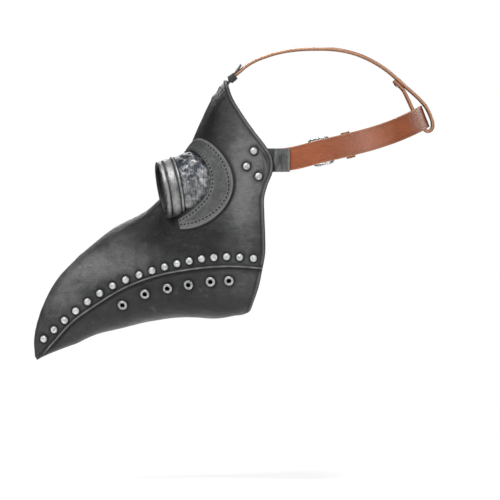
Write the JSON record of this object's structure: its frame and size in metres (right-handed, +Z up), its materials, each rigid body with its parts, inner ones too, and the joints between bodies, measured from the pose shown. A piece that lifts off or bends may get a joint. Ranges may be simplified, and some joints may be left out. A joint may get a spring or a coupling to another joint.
{
  "type": "plague doctor mask",
  "caption": "Long-beaked mask with goggle eyepieces, a riveted mouth line and a buckled head harness, worn over the face.",
  "frame": {"origin": "midway between the two temple tabs, where the harness meets the mask", "axes": "-Y the way the beak points, +Z up, +X the wearer's left"},
  "size_m": [0.1627, 0.3872, 0.3021],
  "materials": {
    "mask_leather": "antiqued dark pewter grey, satin sheen",
    "dark_leather": "dark grey, satin",
    "rivet_metal": "bright silver, worn",
    "eyepiece_metal": "hammered antique silver with dark wash",
    "lens": "dark tinted",
    "gasket": "black",
    "buckle_metal": "polished nickel",
    "strap_leather": "reddish brown, smooth"
  },
  "bodies": {
    "mask": {"upper_shell": "mask_leather", "lower_shell": "mask_leather", "seam_welt_left": "mask_leather", "seam_welt_right": "mask_leather", "seam_backing_left": "mask_leather", "seam_backing_right": "mask_leather", "mouth_rivets_left": "rivet_metal", "mouth_rivets_right": "rivet_metal", "mouth_burrs_left": "rivet_metal", "mouth_burrs_right": "rivet_metal", "vent_eyelets_left": "rivet_metal", "vent_eyelets_right": "rivet_metal", "vent_washers_left": "rivet_metal", "vent_washers_right": "rivet_metal", "eye_flange_left": "dark_leather", "eye_flange_right": "dark_leather", "eye_tube_left": "eyepiece_metal", "eye_tube_right": "eyepiece_metal", "eye_ring_left": "eyepiece_metal", "eye_ring_right": "eyepiece_metal", "eye_lens_left": "lens", "eye_lens_right": "lens", "lens_gasket_left": "gasket", "lens_gasket_right": "gasket", "temple_tab_left": "dark_leather", "temple_tab_right": "dark_leather", "temple_rivets_left": "rivet_metal", "temple_rivets_right": "rivet_metal", "temple_burrs_left": "rivet_metal", "temple_burrs_right": "rivet_metal", "forehead_keeper": "dark_leather"},
    "back_strap": {"back_strap_long": "strap_leather", "back_strap_short": "strap_leather"},
    "top_strap": {"top_strap": "strap_leather", "loop_rivet": "rivet_metal"},
    "buckle_frame": {"buckle_frame": "buckle_metal"},
    "buckle_prong": {"buckle_prong": "buckle_metal"},
    "strap_keeper": {"strap_keeper": "strap_leather"}
  },
  "joints": [
    {"name": "back_strap_lift", "type": "hinge", "parent": "mask", "child": "back_strap", "pos_m": [0, 0.003, 0.0025], "axis": [1, 0, 0], "range_deg": [0, 7]},
    {"name": "top_strap_swing", "type": "hinge", "parent": "mask", "child": "top_strap", "pos_m": [0, -0.0435, 0.082], "axis": [1, 0, 0], "range_deg": [0, 2.8]},
    {"name": "buckle_frame_swing", "type": "hinge", "parent": "back_strap", "child": "buckle_frame", "pos_m": [-0.07676, 0.05402, 0.01387], "axis": [-0.0534, 0.2271, -0.9724], "range_deg": [0, 20]},
    {"name": "buckle_prong_swing", "type": "hinge", "parent": "buckle_frame", "child": "buckle_prong", "pos_m": [-0.07676, 0.05402, 0.01387], "axis": [-0.0534, 0.2271, -0.9724], "range_deg": [0, 45]},
    {"name": "strap_keeper_slide", "type": "slide", "parent": "back_strap", "child": "strap_keeper", "axis": [-0.1774, -0.9546, -0.2391], "range_m": [-0.006, 0]}
  ],
  "couplings": [
    {"joint": "top_strap_swing", "follows": "back_strap_lift", "ratio": 0.4}
  ]
}
